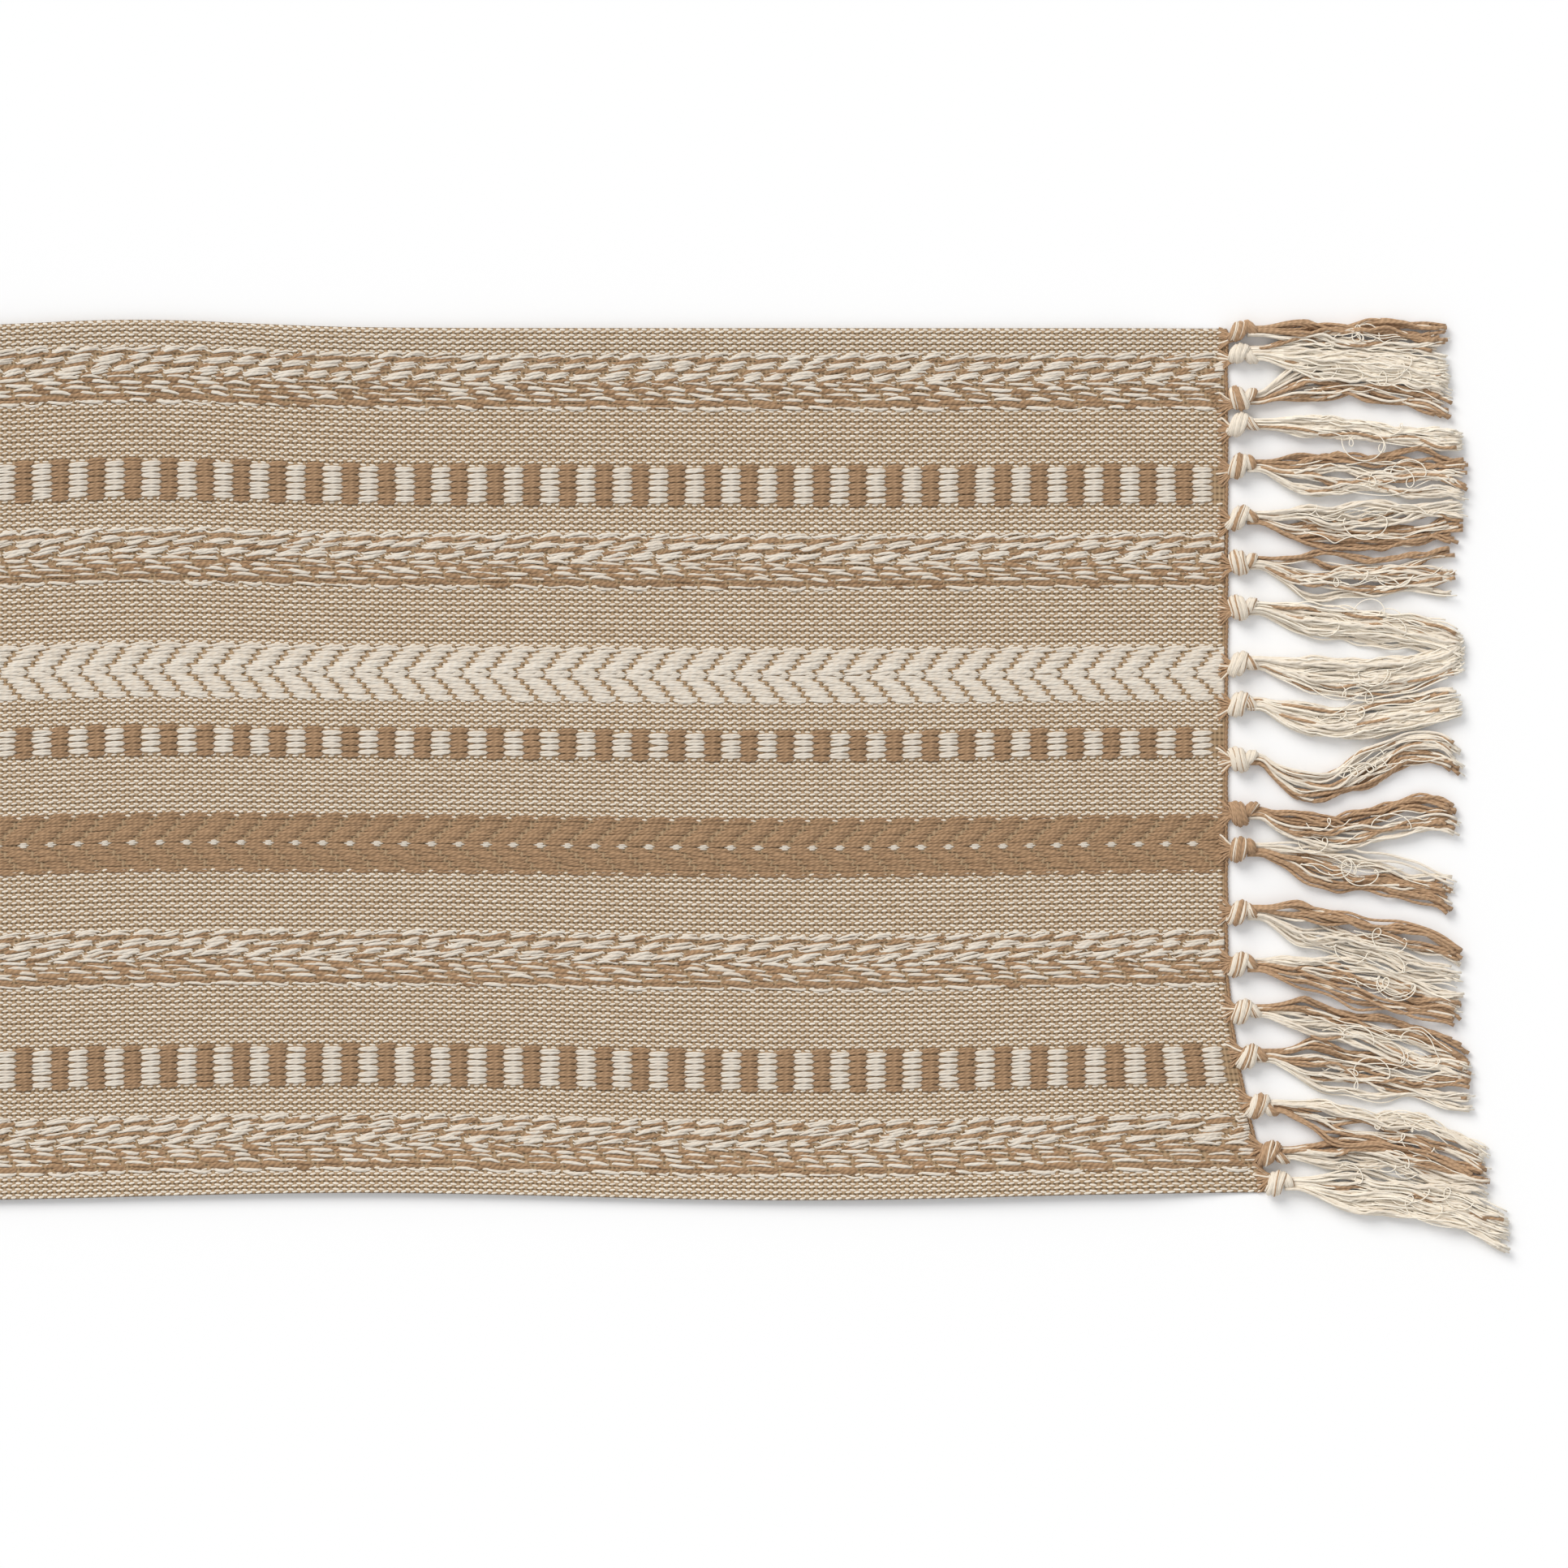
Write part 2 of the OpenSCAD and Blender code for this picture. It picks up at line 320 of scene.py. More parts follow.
def weave_material(name, back):
    """The ground: tan wefts, painted lighter on their crowns and darker between them as shade, with painted shade
    in the gap beside every second warp yarn. The back shows the warp too, as a dash over every second weft: cream
    where the tone is 1, tan where it is 0, and mixed between."""
    g = Graph(name)
    u, v = g.uv()
    weft = g.add(g.times(g.math("COSINE", g.times(u, 2 * math.pi)), 0.5), 0.5)
    gap_v = g.math("POWER", g.add(g.times(g.math("COSINE", g.times(v, math.pi)), 0.5), 0.5), 4.0)
    gap_u = g.add(0.5, g.times(g.math("COSINE", g.times(g.add(u, 0.5), 2 * math.pi)), 0.5))
    slub = g.noise(g.times(u, 0.9), g.times(v, 0.12), 3.0, 2.0)
    fibre = g.noise(g.times(u, 5.0), g.times(v, 0.8), 7.0, 2.0)
    # Painted light on the crown of each weft and painted shade between wefts, with slubs and fibres at random
    share = g.add(0.15, g.times(weft, 0.35), g.times(slub, 0.5), g.times(fibre, 0.35), -0.2)
    colour = g.blend(g.math("ADD", share, 0.0, clamp=True), WEFT_SHADE, WEFT_TAN)
    # Painted shade in the gap beside every second warp yarn, darkest between the wefts
    gap = g.times(gap_v, g.add(0.3, g.times(gap_u, 0.7)))
    colour = g.blend(g.math("MULTIPLY", gap, 1.0, clamp=True), colour, GAP_SHADE)
    height = g.add(g.times(weft, 0.8), g.times(fibre, 0.2), g.times(gap, -0.6))
    if back:
        # +1 on one warp yarn and -1 on the next, times the same for the wefts
        warp = g.math("SINE", g.times(v, math.pi))
        over = g.times(warp, g.math("COSINE", g.times(u, math.pi)))
        dash = g.math("MULTIPLY", g.add(over, -0.02), 4.0, clamp=True)
        cream = g.blend(g.add(g.times(slub, 0.5), g.times(fibre, 0.5)), CREAM_SHADE, CREAM)
        mottle = g.noise(g.times(u, 0.35), g.times(v, 0.6), 11.0)
        share = g.math("ADD", g.times(g.add(g.tone(), mottle, -1.0), 6.0), 0.5, clamp=True)
        colour = g.blend(dash, colour, g.blend(share, TAN, cream))
        height = g.add(height, g.times(dash, 0.8))
    return g.finish(colour, g.add(0.8, g.times(fibre, 0.18)), height, 0.35 * MM)


def warp_material(name):
    """A cream warp yarn where it crosses a weft: painted light on its crown and painted shade down its sides, with
    darker fibres and tones at random.
    """
    g = Graph(name)
    u, v = g.uv()
    tone = g.tone()
    fibre = g.noise(g.times(u, 1.5), g.times(v, 7.0), g.times(tone, 83.0), 2.0)
    # Painted light on the ridge of each grain and painted shade on its slopes
    crown = g.math("SINE", g.times(v, math.pi))
    share = g.add(g.times(crown, 0.55), g.times(fibre, 0.4), g.times(tone, 0.45), -0.15)
    colour = g.blend(g.math("ADD", share, 0.0, clamp=True), CREAM_SHADE, CREAM)
    return g.finish(colour, g.add(0.8, g.times(fibre, 0.18)), fibre, 0.15 * MM)


weft_top = weave_material("weave_face", back=False)
weft_back = weave_material("weave_back", back=True)
warp_cream = warp_material("cream_warp")
yarn_cream = yarn_material("cream_yarn", RAISED, CREAM_SHADE, twist=3.2, groove=0.3)
yarn_tan = yarn_material("tan_yarn", TAN, TAN_SHADE, twist=2.6, groove=0.5)
loose_cream = yarn_material("loose_cream_yarn", LOOSE, LOOSE_SHADE, twist=3.2, groove=0.3)
loose_tan = yarn_material("loose_tan_yarn", LOOSE_TAN, LOOSE_TAN_SHADE, twist=2.6, groove=0.5)
thread_cream = yarn_material("cream_thread", THREAD, THREAD_SHADE, twist=1.6, groove=0.2,
                             depth=0.06 * MM)


# ---------------------------------------------------------------- the ground cloth

def row_count(low, high):
    """An even number of warp rows for a stripe this wide."""
    return 2 * max(1, round((high - low) / ROW / 2))


row_ys, row_vs = [edges[0]], [0]
for low, high in zip(edges[:-1], edges[1:]):
    row_ys.append(high)
    row_vs.append(row_vs[-1] + row_count(low, high))


# How cream the back of each patterned stripe is, from 0 to 1
BACK_TONE = {"mixed_braids": 0.5, "check_stripes": 0.5, "cream_chevron": 1, "tan_chevron": 0}
RIM = 0.6 * MM               # the ground thins to its long edges over this width
RIM_SHARE = 0.35             # the share of its thickness left at the edge


def ground_sheet(side):
    """One half of the ground as a thin closed sheet, face and back."""
    sign = SIDES[side]
    xs = np.unique(np.concatenate([np.linspace(0, END - 0.08, 170),
                                   np.linspace(END - 0.08, END + MM, 60)]))
    ys = [np.linspace(low, high, max(3, int((high - low) / (5 * MM)) + 2))[:-1]
          for low, high in zip(edges[:-1], edges[1:])]
    beside_edges = np.array(edges[1:-1]) + 0.3 * MM
    ys = np.sort(np.concatenate(ys + [[HALF_W, RIM - HALF_W, HALF_W - RIM], beside_edges]))
    tone = np.ones(len(ys))
    for low, high, layer in BANDS:
        tone[(ys > low + 0.1 * MM) & (ys < high + 0.1 * MM)] = BACK_TONE[layer]
    nx, ny = len(xs), len(ys)
    gx, gy = np.meshgrid(sign * xs, ys, indexing="ij")
    fullness = RIM_SHARE + (1 - RIM_SHARE) * np.clip((HALF_W - np.abs(gy)) / RIM, 0, 1)
    middle = (BASE_LOW + BASE_TOP) / 2
    top = place(gx, gy, middle + (BASE_TOP - middle) * fullness)
    back = place(gx, gy, middle - (middle - BASE_LOW) * fullness)
    uv = np.stack([gx / WEFT, np.interp(gy, row_ys, row_vs)], axis=-1).reshape(-1, 2)
    index = np.arange(nx * ny).reshape(nx, ny)
    quads = np.stack([index[:-1, :-1], index[1:, :-1], index[1:, 1:], index[:-1, 1:]], axis=-1)
    quads = quads.reshape(-1, 4)
    outline = np.concatenate([index[:, 0], index[-1, 1:], index[-2::-1, -1], index[0, -2:0:-1]])
    after = np.roll(outline, -1)
    walls = np.stack([outline, outline + nx * ny, after + nx * ny, after], axis=-1)
    if sign < 0:
        quads, walls = quads[:, ::-1], walls[:, ::-1]
    cloth = Yarns()
    cloth.add(np.concatenate([top.reshape(-1, 3), back.reshape(-1, 3)]), np.tile(tone, 2 * nx),
              (quads, uv[quads], 0),
              *[(faces, uv[faces % (nx * ny)], 1) for faces in (quads[:, ::-1] + nx * ny, walls)])
    return cloth.build(f"cloth_{side}", [weft_top, weft_back])


# A grain: a hexagon with a ridge over it, and the faces of its two ends and two slopes
GRAIN = np.array([[-0.5, 0, 0], [-0.27, -0.5, 0], [0.27, -0.5, 0], [0.5, 0, 0],
                  [0.27, 0.5, 0], [-0.27, 0.5, 0], [-0.22, 0, 1], [0.22, 0, 1]])
# The v of each corner, high on the ridge, where the warp material paints light
GRAIN_V = np.array([0.5, 0.1, 0.1, 0.5, 0.1, 0.1, 0.5, 0.5])
GRAIN_TRIS = np.array([[0, 1, 6], [2, 3, 7], [3, 4, 7], [5, 0, 6]])
GRAIN_QUADS = np.array([[1, 2, 7, 6], [4, 5, 6, 7]])


def add_grains(yarns, x, y, z, length, width, height, rng, lean=0.0, tone_bias=0.0):
    """Little domes of warp yarn at x, y: one for each place where it crosses a weft."""
    n = len(x)
    size = np.stack([length * rng.uniform(0.9, 1.12, n), width * rng.uniform(0.88, 1.12, n),
                     height * rng.uniform(0.85, 1.15, n)], axis=-1)
    local = GRAIN * size[:, None]
    tilt = rng.normal(lean, 0.04, n)[:, None]
    px = x[:, None] + local[..., 0]
    py = y[:, None] + local[..., 1] + tilt * local[..., 0]
    co = place(px, py, z + local[..., 2])
    slow = 0.5 + 0.5 * np.sin(900 * y + 3 * np.sin(37 * x))
    tone = np.clip(0.15 * slow + rng.uniform(0.1, 0.85, n) + tone_bias, 0, 1)
    corners_each = len(GRAIN)
    uv = np.stack([local[..., 0] / MM + 7 * tone[:, None],
                   np.broadcast_to(GRAIN_V, (n, corners_each))], axis=-1).reshape(-1, 2)
    start = corners_each * np.arange(n)[:, None, None]
    parts = [(faces + start).reshape(-1, faces.shape[1]) for faces in (GRAIN_TRIS, GRAIN_QUADS)]
    yarns.add(co, np.repeat(tone, corners_each), *[(faces, uv[faces], 0) for faces in parts])


def warp_rows(side, number, low, high):
    """The warp of one plain stripe, on one half of the cloth."""
    sign = SIDES[side]
    rng = np.random.default_rng(100 + 2 * number + (sign > 0))
    rows = row_count(low, high)
    pitch = (high - low) / rows
    yarns = Yarns()
    most = math.ceil(END / WEFT)
    # One more row on each side runs on under the raised yarns
    first = 0 if low < 1e-4 - HALF_W else -1
    last = rows if high > HALF_W - 1e-4 else rows + 1
    for row in range(first, last):
        # Two rows share a dent of the reed, so they lie closer, and a gap follows them
        odd = row % 2
        pair = -PAIRING if odd else PAIRING
        x = (2 * np.arange(-most, most) + odd) * WEFT
        x = x[(sign * x > -0.1 * sign * WEFT) & (sign * x < END - 0.5 * WEFT)]
        y = np.full(len(x), low + (row + 0.5 + pair) * pitch) + rng.normal(0, 0.04 * MM, len(x))
        x = x + rng.normal(0, 0.07 * MM, len(x))
        add_grains(yarns, x, y, BASE_TOP - 0.12 * MM, 3.0 * MM, 1.04 * MM, 0.55 * MM, rng,
                   -0.12 if odd else 0.15)
    return yarns.build(f"ground_warp_{side}_{number:02d}", [warp_cream])


# ---------------------------------------------------------------- the raised stripes

PHASES = np.array([0.0, 0.06, 0.14, 0.3, 0.5, 0.7, 0.86, 0.94])     # of a float's stations
UNEVEN, MIXED_UNEVEN = 0.12, 0.3          # how much the floats differ
RAISED_UP = FLOAT_TOP - BASE_TOP          # how high the raised yarns stand over the ground


def weave_yarn(yarns, rng, row_y, shift, repeat, lean, slant, tie, width, rise, slot, sign, uneven):
    """One raised yarn along a half of the cloth. It floats over the wefts and is tied
    down once in each repeat, at shift, for a share tie of it. lean bows each float to one
    side, slant tilts it, and uneven is how much the floats differ in width and place."""
    count = int(END / repeat) + 3
    index = np.arange(-count, count)
    bow = rng.normal(0, 0.14 * MM, len(index)) + lean(index)
    slope = slant + rng.normal(0, 0.025 + 0.1 * (uneven - UNEVEN), len(index))
    wander, wander_phase = 8 * (uneven - UNEVEN) * MM, rng.uniform(0, 2 * np.pi)
    fullness = rng.uniform(1 - uneven, 1 + uneven, len(index))
    x = ((index[:, None] + PHASES) * repeat + shift).ravel()
    keep = (sign * x > 0.4 * MM) & (sign * x < END - 0.2 * MM)
    x = np.sort(np.concatenate([x[keep], [0, sign * END]]))
    turn = (x - shift) / repeat + 1e-9
    at = np.clip(np.floor(turn).astype(int) + count, 0, len(index) - 1)
    phase = turn - np.floor(turn)
    arch = np.sin(np.pi * np.clip((phase - tie / 2) / (1 - tie), 0, 1))
    y = row_y + bow[at] * arch + slope[at] * repeat * (phase - 0.5) * smooth(arch * 4)
    y = y + 0.07 * MM * np.sin(2 * np.pi * x / (17 * MM) + 40 * row_y / MM)
    height = (RAISED_UP - 0.3 * MM + rise) * np.minimum(fullness[at], 1.1)
    z = BASE_TOP - 0.4 * MM + height * arch ** 0.55
    # The ties wander along the cloth, but not where the halves meet or at the end
    inside = smooth(np.abs(x) / (20 * MM)) * smooth((END - np.abs(x)) / (20 * MM))
    x = x + wander * inside * np.sin(2 * np.pi * np.abs(x) / (47 * MM) + wander_phase)
    half_w = width / 2 * (0.4 + 0.6 * arch ** 0.6) * fullness[at]
    half_t = 0.34 * MM * (0.7 + 0.3 * arch)
    yarns.tubes(place(x, y, z)[None], half_w[None], half_t[None], rng.uniform(0, 1), slot)


# The side of each row of a mixed stripe on which its cream yarn lies, from the middle out:
# in pairs in the +Y half, and on the same side in the other
CREAM_SIDES = {1: (1, -1, 1, -1, 1), -1: (1, 1, 1, 1, -1)}


def chevron_stripe(side, name, number, low, high, colours):
    """Ten rows of two yarns each, whose ties step along the cloth from the middle out."""
    sign = SIDES[side]
    # Both halves of the cloth use the same seed, so that the yarns meet in the middle
    rng = np.random.default_rng(500 + number)
    mixed = colours[0] != colours[1]
    rows = 5
    middle, pitch = (low + high) / 2, (high - low) / 2 / (rows + 0.1)
    tie = 0.09 if 0 in colours else 0.06
    yarns = Yarns()
    for half, cream_sides in CREAM_SIDES.items():
        slant = 0.06 * half if not mixed else 0.16 if half > 0 else -0.07
        for row, cream_side in enumerate(cream_sides):
            y = middle + half * pitch * (row + 0.6)
            shift = (row + 0.5) * CHEVRON / rows
            outward = half * (0.35 * MM if row == rows - 1 else 0)
            if mixed and half < 0 and row < rows - 1:
                outward = 0.3 * MM
            phase, pace = rng.uniform(0, 2 * np.pi), rng.uniform(0.5, 1.3)
            for strand, colour in zip((-cream_side, cream_side), colours[::-1]):
                def lean(index, strand=strand, phase=phase, pace=pace, outward=outward):
                    swing = np.sin(pace * index + phase) + 0.5 * np.sin(2.3 * pace * index)
                    return outward - strand * (0.22 * pitch * swing if mixed else 0)
                cream = mixed and colour == 0
                if mixed:
                    # Cream leads in the +Y half, where it is doubled, and tan in the other
                    width = (0.60 if cream else 0.74) if half > 0 else (0.66 if cream else 0.95)
                else:
                    width = 0.78 if colour == 0 else 0.7
                jitter = rng.normal(0, 0.7 * MM if mixed else 0.4 * MM)
                for beside in (-0.2, 0.24) if cream and half > 0 else (0,):
                    weave_yarn(yarns, rng, y + (strand * 0.25 + beside) * pitch, shift + jitter, CHEVRON,
                               lean, slant, tie, width * pitch, 0.15 * MM if cream else 0, colour, sign,
                               MIXED_UNEVEN if mixed else UNEVEN)
    # Grains of the ground show in the middle of every repeat
    count = int(END / CHEVRON) + 1
    x = sign * np.arange(count) * CHEVRON
    x = x[(sign * x > -0.1 * sign * MM) & (sign * x < END - 3 * MM)]
    for dy, length in ((0, 2.6),) if mixed else ((0, 5.6), (0.72, 3.4), (-0.72, 3.4)):
        add_grains(yarns, x, np.full(len(x), middle + dy * MM), BASE_TOP + 0.25 * MM,
                   length * MM, 0.8 * MM, 0.5 * MM, rng, 0, 0.3)
    return yarns.build(f"{name}_{side}_{number:02d}", [yarn_cream, yarn_tan])


def check_stripe(side, name, number, low, high):
    """Blocks of cream floats between blocks of tan floats."""
    sign = SIDES[side]
    rng = np.random.default_rng(900 + 2 * number + (sign > 0))
    cream_rows = round((high - low) / (2.62 * MM) - 1)
    pitch = (high - low) / (cream_rows + 1)
    middle = (low + high) / 2
    yarns = Yarns()
    # Rows, place in the repeat, length, width and slot of the cream block and the tan one
    blocks = ((cream_rows, 0.27, 9.3 * MM, 0.9 * pitch, 0),
              (cream_rows + 1, 0.77, 8.4 * MM, 0.98 * pitch, 1))
    most = math.ceil(END / CHECK)
    index = np.arange(-most, most)
    t = np.array([-1, -0.72, 0, 0.72, 1])
    arch = np.sqrt(np.clip(1 - t * t, 0.0, 1))
    for rows, centre, length, width, slot in blocks:
        for row in range(rows):
            y0 = middle + (row - (rows - 1) / 2) * pitch
            x0 = (index + centre) * CHECK
            x0 = x0[(sign * x0 > 0) & (sign * x0 < END - length / 2)]
            for strand in (-1, 1):
                n = len(x0)
                centre_x = x0 + rng.normal(0, 0.25 * MM, n)
                slope = rng.normal(0.03, 0.03, n)
                x = centre_x[:, None] + t * length / 2
                y = y0 + rng.normal(0, 0.08 * MM, n)[:, None] + slope[:, None] * (x - centre_x[:, None])
                y = y + strand * width * 0.25 * (0.2 + 0.8 * arch)
                z = BASE_TOP - 0.3 * MM + (RAISED_UP - 0.2 * MM) * arch ** 0.6
                half_w = width * 0.31 * (0.2 + 0.8 * arch)
                yarns.tubes(place(x, y, z), half_w, 0.34 * MM, rng.uniform(0.2, 0.9, n), slot)
    return yarns.build(f"{name}_{side}_{number:02d}", [yarn_cream, yarn_tan])


# ---------------------------------------------------------------- binding and knots

def edge_binding(side):
    """Two strands twisted together along the last weft."""
    sign = SIDES[side]
    y = np.linspace(-HALF_W + 0.4 * MM, HALF_W - 0.4 * MM, 900)
    middle, radius = END + 1.0 * MM, 0.36 * MM
    yarns = Yarns()
    for strand in range(2):
        angle = 2 * np.pi * (y / (4.2 * MM) + strand / 2) + 0.5 * np.sin(170 * y)
        x = middle + radius * np.cos(angle) + 0.15 * MM * np.sin(310 * y + 2)
        z = 1.2 * MM + radius * np.sin(angle)
        path = place(sign * x, y, z)[None]
        yarns.tubes(path, 0.46 * MM, 0.46 * MM, 0.45 + 0.2 * strand)
    return yarns.build(f"twisted_edge_{side}", [yarn_tan])


# For each knot, from +Y: how tan it is, from 0 to 7, and how far its second turn lies to
# the side, in mm
MOST_TAN = 7
KNOTS = [(7, 1.2), (0, -1.0), (3, 0.8), (1, 0.6), (2, 1.2), (2, 0.9), (3, 0.6),
         (0, 0.8), (0, 0.7), (1, 0.5), (0, 0.6), (7, 1.4), (6, 1.1), (3, 0.8),
         (3, 0.8), (1, 0.6), (3, 0.8), (2, -0.8), (7, -1.0), (0, 0.8)]


def wraps(yarns, rng, centre, radius_y, radius_z, bundles, slant, tan_share):
    """Bundles of yarns, each wound once round a barrel that lies along X."""
    angle = 2 * np.pi * np.arange(18) / 18
    each, step, girth = 5, 0.5 * MM, 0.45 * MM
    width = 2.35 * MM                     # of a bundle
    for bundle in range(bundles):
        place_x = bundle - (bundles - 1) / 2
        # Each bundle turns tan at its own share
        tan = tan_share > (0.8, 0.15, 0.55)[bundle % 3]
        wobble, turn = rng.uniform(0.7, 1.3), rng.uniform(0, 6.28)
        for k in range(each):
            own = k - (each - 1) / 2
            x = place_x * width + own * step + slant * wobble * np.cos(angle)
            x = x + 0.25 * MM * np.sin(2 * angle + turn) + rng.normal(0, 0.06 * MM)
            along = (place_x + own * step / width) / (bundles / 2)
            profile = math.sqrt(1 - 0.55 * min(1, along * along)) - 0.025 * own * own
            y = radius_y * profile * np.cos(angle) + rng.normal(0, 0.08 * MM)
            z = radius_z * profile * np.sin(angle)
            path = np.stack([centre[0] + x, centre[1] + y, centre[2] + z], axis=-1)
            slot = int(tan != (rng.random() < 0.12))
            yarns.tubes(path[None], girth, girth, rng.uniform(0.2, 0.9), slot, sides=5,
                        up=(1, 0, 0), loop=True)


def add_core(yarns, centre, radii, slot):
    """A plain ball of yarn inside the wraps."""
    t = np.linspace(-0.98, 0.98, 9)
    path = np.stack([centre[0] + radii[0] * t, np.full(9, centre[1]), np.full(9, centre[2])], axis=-1)
    girth = np.sqrt(1 - t * t)
    yarns.tubes(path[None], radii[1] * girth, radii[2] * girth, 0.3, slot, sides=10)


def knots(side):
    sign = SIDES[side]
    rng = np.random.default_rng(60 + (sign > 0))
    yarns = Yarns()
    for i, (how_tan, lobe) in enumerate(KNOTS):
        hx, hy, _ = hinge(side, i)
        out = abs(hx) - HINGE_X
        near = CLOTH_END + out
        room = min(abs(hy - KNOT_YS[j]) for j in (i - 1, i + 1) if 0 <= j < TASSEL_COUNT)
        half = min(6.0 * MM, room / 2)
        share = how_tan / MOST_TAN
        centre = np.array([sign * (near + 3.5 * MM), hy, 4.2 * MM])
        slant = sign * rng.uniform(0.8, 1.9) * MM * rng.choice([-1, 1, 1])
        wraps(yarns, rng, centre, half - 0.45 * MM, 3.6 * MM, 3, slant, share)
        add_core(yarns, centre, (3.5 * MM, half - 0.9 * MM, 3.3 * MM), int(share > 0.4))
        second = centre + np.array([sign * 4.9 * MM, lobe * 1.3 * MM, -0.5 * MM])
        wraps(yarns, rng, second, 3.3 * MM, 2.9 * MM, 2, -1.2 * slant, share)
        add_core(yarns, second, (2.3 * MM, 2.9 * MM, 2.5 * MM), int(share > 0.4))
        # The warp yarns that the knot is tied in come out of the cloth and together
        gathered = 18
        spread = np.linspace(-1, 1, gathered) * min(6.5 * MM, 0.5 * room)
        t = np.linspace(0, 1, 9)
        begin = END - rng.uniform(0.6, 4.0, (gathered, 1)) * MM
        x = begin + (near + 1.4 * MM - out - begin) * t
        y = hy + spread[:, None] * (1 - 0.72 * smooth(t * 1.05))
        y = y + rng.normal(0, 0.15 * MM, (gathered, 1))
        z = np.interp(t, [0, 0.25, 0.6, 1], np.array([0.5, 1.3, 2.1, 3.4]) * MM)
        z = z + rng.uniform(-0.2, 0.2, (gathered, 1)) * MM
        path = place(sign * x, y, z)
        for k in range(gathered):
            slot = int(rng.random() < 0.82 + 0.02 * how_tan)
            yarns.tubes(path[k:k + 1], 0.45 * MM, 0.4 * MM, rng.uniform(0, 0.5), slot)
    return yarns.build(f"knots_tied_{side}", [loose_cream, loose_tan])


# ---------------------------------------------------------------- the tassels

# Tan yarns, cream yarns and fine cream threads in each kind of tassel
MIX = {"tan_yarn": (22, 8, 5), "mixed_yarn": (17, 20, 10), "cream_yarn": (3, 24, 80)}
TAN_SLOT, CREAM_SLOT, THREAD_SLOT = 1, 0, 2
# For the same three: radius in mm, slot, sides, and how far they keep to the tan side
STRANDS = ((0.64, TAN_SLOT, 6, 0.5), (0.55, CREAM_SLOT, 6, -0.35), (0.36, THREAD_SLOT, 4, -0.25))
BEFORE = 6.5 * MM            # the yarns begin this far inside the knot
CLUMPS = 6
# For each tassel from +Y: how far its middle lies towards +Y of its knot, in mm, at a third
# and two thirds of its length and at its tip, the side on which its tan yarns lie, half its
# width in mm where it is full, and how much of its length most of its yarns reach
WAYS = [(-0.5, -1.5, -2.5, 1, 4.6, 0.90), (-2, -5, -8, 1, 7.0, 0.90), (9, 6, -3, -1, 8.0, 0.92),
        (-2, -5, -8, -1, 3.2, 0.97), (-4, -3, -7, 1, 8.8, 1.00), (-4, -3, -1, -1, 8.4, 0.98),
        (-6, -5, -3, 1, 8.2, 0.94), (-6, -9, -17, 1, 5.4, 0.97), (-7, -6, 3, -1, 6.4, 0.97),
        (-8, -5, 1, 1, 5.6, 0.95), (-11, 2, -3, -1, 6.6, 0.98), (-8, -3, -6, 1, 6.6, 0.96),
        (-7, -13, -20, -1, 7.6, 0.94), (-8, -15, -25, 1, 7.6, 0.98), (-5, -12, -20, -1, 7.4, 0.98),
        (-6, -14, -25, 1, 7.0, 1.00), (-7, -11, -15, 1, 8.4, 0.98), (-8, -14, -26, -1, 7.6, 1.00),
        (-2, -7, -16, 1, 6.2, 0.96), (-4, -9, -20, 1, 6.6, 1.00)]


def curve(stations, q):
    """A smooth curve through 0 and three stations at a third, two thirds and one."""
    a, b, c = stations
    return (a * 13.5 * q * (q - 2 / 3) * (q - 1) - b * 13.5 * q * (q - 1 / 3) * (q - 1)
            + c * 4.5 * q * (q - 1 / 3) * (q - 2 / 3))


def waves(run, pitch, phase):
    """A sine along the yarns, with its pitch in mm."""
    return np.sin(2 * np.pi * run / (pitch * MM) + phase)


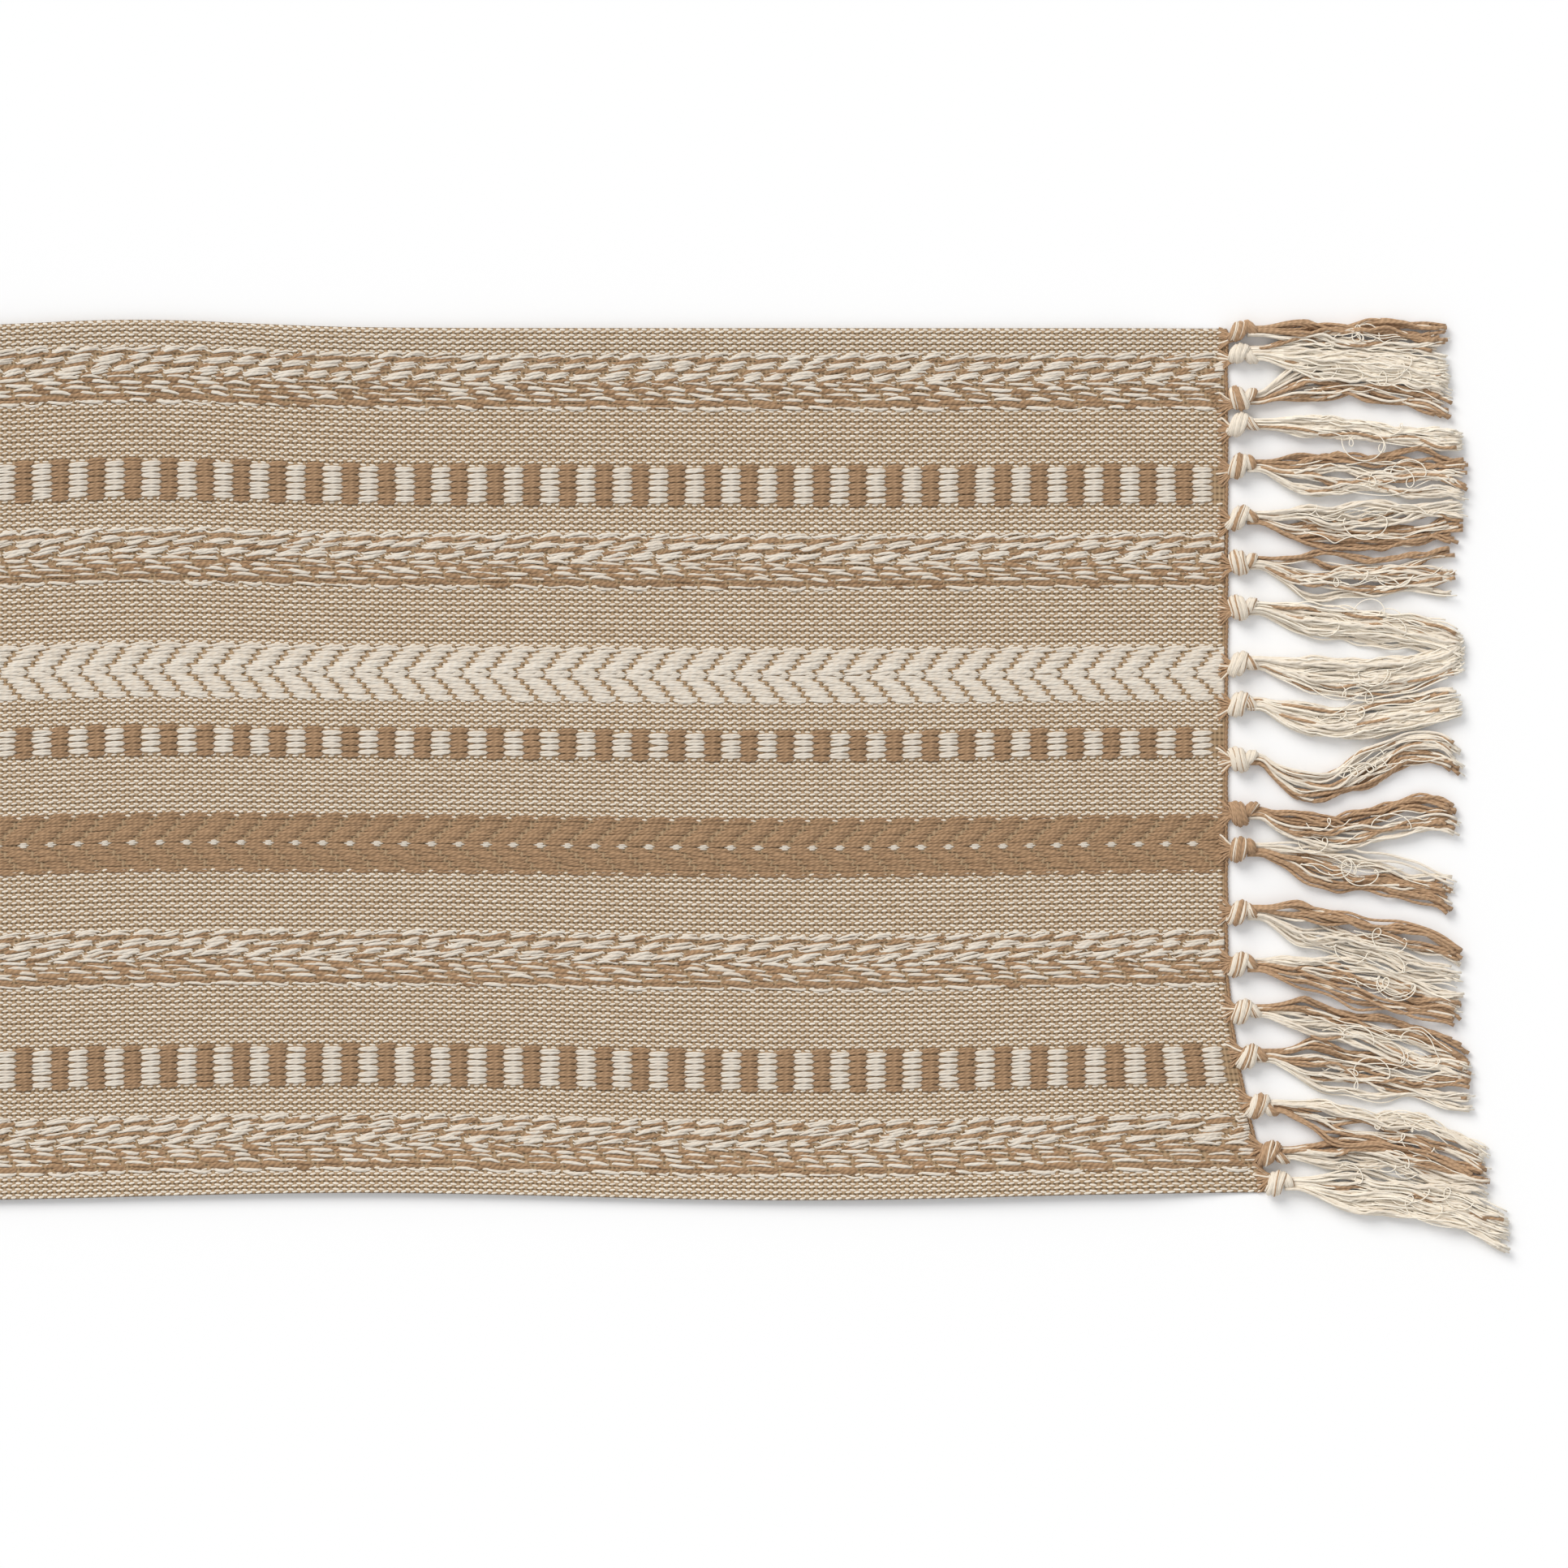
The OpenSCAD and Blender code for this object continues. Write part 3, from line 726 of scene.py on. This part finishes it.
def tassel(side, i):
    """Loose yarns that leave a knot in a few clumps, cross each other and end unevenly."""
    sign = SIDES[side]
    rng = np.random.default_rng(1000 + 40 * (sign > 0) + i)
    node = f"tassel_{side}_{i + 1:02d}"
    kind = next(part["material_slot"] for part in frame["record"]["subparts"] if part["node"] == node)
    hx, hy, hz = hinge(side, i)
    low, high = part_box(node)
    length = high.x - hx if sign > 0 else hx - low.x
    *way, tan_side, fullness, reach = WAYS[i]
    way, fullness = np.array(way) * MM, fullness * MM
    if sign < 0:
        way = way * rng.uniform(0.5, 1.0, 3)
    creamy = kind == "cream_yarn"
    clump_lane = np.linspace(-0.95, 0.95, CLUMPS) + rng.normal(0, 0.08, CLUMPS)
    clump_level = rng.uniform(-0.7, 0.7, CLUMPS)
    clump_phase = rng.uniform(0, 2 * np.pi, (CLUMPS, 2))
    yarns = Yarns()
    rings = 36
    t = np.linspace(0, 1, rings)
    for count, (radius, slot, sides, leaning) in zip(MIX[kind], STRANDS):
        radius = radius * MM * (1.3 if creamy and slot != TAN_SLOT else 1.1)
        ends = reach * (1 + 0.02 * (slot == THREAD_SLOT) - np.abs(rng.normal(0, 0.055, (count, 1))))
        run = -BEFORE + (length * np.clip(ends, 0.7, 1.02) + BEFORE) * t
        q = np.clip(run / length, 0, 1.05)
        wanted = np.clip(rng.normal(leaning * tan_side, 0.55, count), -1, 1)
        clump = np.abs(wanted[:, None] - clump_lane).argmin(axis=1)
        lane = (clump_lane[clump] + rng.normal(0, 0.2 if creamy else 0.12, count))[:, None]
        spread = 1.6 * MM + (fullness - 1.6 * MM) * smooth((q + 0.06) * 3.2)
        free = smooth(q * 4)
        sway = np.zeros((count, rings))
        for pitch, size, column in ((58, 1.5, 0), (31, 0.8, 1)):
            phase = clump_phase[clump, column:column + 1] + rng.normal(0, 0.25, (count, 1))
            sway += size * MM * waves(run, pitch, phase)
        own = rng.uniform(0.2, 0.9, (count, 1)) * MM
        own = own * waves(run, rng.uniform(13, 26, (count, 1)), rng.uniform(0, 6.28, (count, 1)))
        y = hy + curve(way, q) + lane * spread + (sway * (0.5 if creamy else 1) + own) * free
        middle = hz + (2.6 * MM - hz) * smooth(q * 3)
        thick = 1.3 * MM + 0.7 * MM * smooth(q * 4) - 0.8 * MM * smooth(q * 1.2 - 0.2)
        level = (clump_level[clump] + rng.normal(0, 0.4, count))[:, None]
        rise = level + 0.5 * waves(run, 33, rng.uniform(0, 6.28, (count, 1)))
        z = np.clip(middle + rise * thick, radius + 0.05 * MM, 5.9 * MM)
        x = hx + sign * (run + 0.8 * MM * waves(run, 23, rng.uniform(0, 6.28)) * free)
        # The tan yarns' cut ends open out
        frayed = 0.45 if slot == TAN_SLOT else 0
        girth = radius * (1 + frayed * smooth((t - 0.96) / 0.04)) * np.ones((count, 1))
        path = np.stack([x, y, z], axis=-1)
        yarns.tubes(path, girth, girth * 0.95, rng.uniform(0, 1, count), slot, sides=sides)
    # Fine threads stray over the others: some make loops, and some only wave
    t = np.linspace(0, 1, 48)
    for loops, strays in ((True, 3), (False, 4)):
        begin = rng.uniform(0.15, 0.6, (strays, 1))
        covered = rng.uniform(0.2, 0.3, (strays, 1)) if loops else rng.uniform(0.3, 0.6, (strays, 1))
        covered = np.minimum(covered, 0.94 - begin)
        turns = rng.uniform(1.2, 2.0, (strays, 1)) * rng.choice([-1, 1], (strays, 1))
        curl = (rng.uniform(2.8, 4.8, (strays, 1)) if loops else rng.uniform(0.5, 1.5, (strays, 1))) * MM
        run = length * reach * (begin + covered * t)
        curl = curl * smooth(3 * t) * smooth(3 - 3 * t)
        turn = 2 * np.pi * turns * t + rng.uniform(0, 6.28, (strays, 1))
        bow = rng.normal(0, 3.0, (strays, 1)) * MM
        lane = rng.uniform(-0.7, 0.7, (strays, 1)) * fullness
        y = hy + curve(way, run / length) + lane + bow * np.sin(np.pi * t) + curl * np.cos(turn)
        x = hx + sign * np.minimum(run + curl * np.sin(turn), length)
        z = 3.4 * MM + 1.6 * MM * np.sin(np.pi * t) + 0.5 * MM * np.sin(turn)
        yarns.tubes(np.stack([x, y, z], axis=-1), 0.3 * MM, 0.3 * MM, rng.uniform(0.6, 1, strays),
                    THREAD_SLOT, sides=4)
    return yarns.build(f"{node}_yarns", [loose_cream, loose_tan, thread_cream]), kind


# ---------------------------------------------------------------- putting it together

CHEVRONS = {"mixed_braids": ((0, 1), "mixed_yarn"), "cream_chevron": ((0, 0), "cream_yarn"),
            "tan_chevron": ((1, 1), "tan_yarn")}

for side, sign in SIDES.items():
    drop = f"drop_{side}"

    def lay(piece, slot, *layers):
        """Bakes the piece's placement into its mesh; the piece stands for these layers of the cloth, which are
        hidden.
        """
        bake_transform(piece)
        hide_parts(*[f"{layer}_{part}" for layer in layers for part in ("span", side)])
        return piece

    cloth = lay(ground_sheet(side), "ground_weave", "ground_cloth")
    for number, (low, high) in enumerate(PLAIN, 1):
        lay(warp_rows(side, number, low, high), "ground_weave")
    for number, (low, high, layer) in enumerate(BANDS, 1):
        if layer == "check_stripes":
            stripe = check_stripe(side, layer, number, low, high)
            slot = "mixed_yarn"
        else:
            colours, slot = CHEVRONS[layer]
            stripe = chevron_stripe(side, layer, number, low, high, colours)
        lay(stripe, slot, layer)
    for piece, node, slot in ((edge_binding(side), f"edge_binding_{side}", "tan_yarn"),
                              (knots(side), f"knots_{side}", "mixed_yarn")):
        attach(piece, drop)
        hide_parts(node)
    for i in range(TASSEL_COUNT):
        piece, slot = tassel(side, i)
        node = f"tassel_{side}_{i + 1:02d}"
        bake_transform(piece)
        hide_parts(node)


# ---------------------------------------------------------------- floor, light and camera

def floor_material():
    material = bpy.data.materials.new("floor")
    material.use_nodes = True
    shader = material.node_tree.nodes["Principled BSDF"]
    shader.inputs["Base Color"].default_value = (0.945, 0.945, 0.945, 1)
    shader.inputs["Roughness"].default_value = 0.9
    shader.inputs["Specular IOR Level"].default_value = 0.0
    return material


FLOOR = 15                   # half its side, in metres
floor_mesh = bpy.data.meshes.new("floor")
floor_mesh.from_pydata([(-FLOOR, -FLOOR, 0), (FLOOR, -FLOOR, 0), (FLOOR, FLOOR, 0), (-FLOOR, FLOOR, 0)],
                       [], [(0, 1, 2, 3)])
floor_mesh.materials.append(floor_material())
floor = bpy.data.objects.new("floor", floor_mesh)
floor.location.z = -0.05 * MM
bpy.context.scene.collection.objects.link(floor)

world = bpy.data.worlds.new("studio")
world.use_nodes = True
world.node_tree.nodes["Background"].inputs["Color"].default_value = (0.975, 0.985, 1.0, 1)
world.node_tree.nodes["Background"].inputs["Strength"].default_value = 0.68
bpy.context.scene.world = world

sun = bpy.data.lights.new("softbox", "SUN")
sun.energy = 2.0
sun.angle = math.radians(35)
sun.color = (1.0, 0.985, 0.96)
lamp = bpy.data.objects.new("softbox", sun)
lamp.rotation_euler = (math.radians(-38), math.radians(-38), 0)
bpy.context.scene.collection.objects.link(lamp)

# The camera looks straight down at the right end
VIEW_W, HEIGHT = 0.682, 2.6
camera = bpy.data.cameras.new("camera")
camera.sensor_width = 36
camera.lens = camera.sensor_width * HEIGHT / VIEW_W
eye = bpy.data.objects.new("camera", camera)
eye.location = (HINGE_X - 0.2078, -0.0106, HEIGHT)
bpy.context.scene.collection.objects.link(eye)
bpy.context.scene.camera = eye
bpy.context.scene.view_settings.view_transform = "Standard"
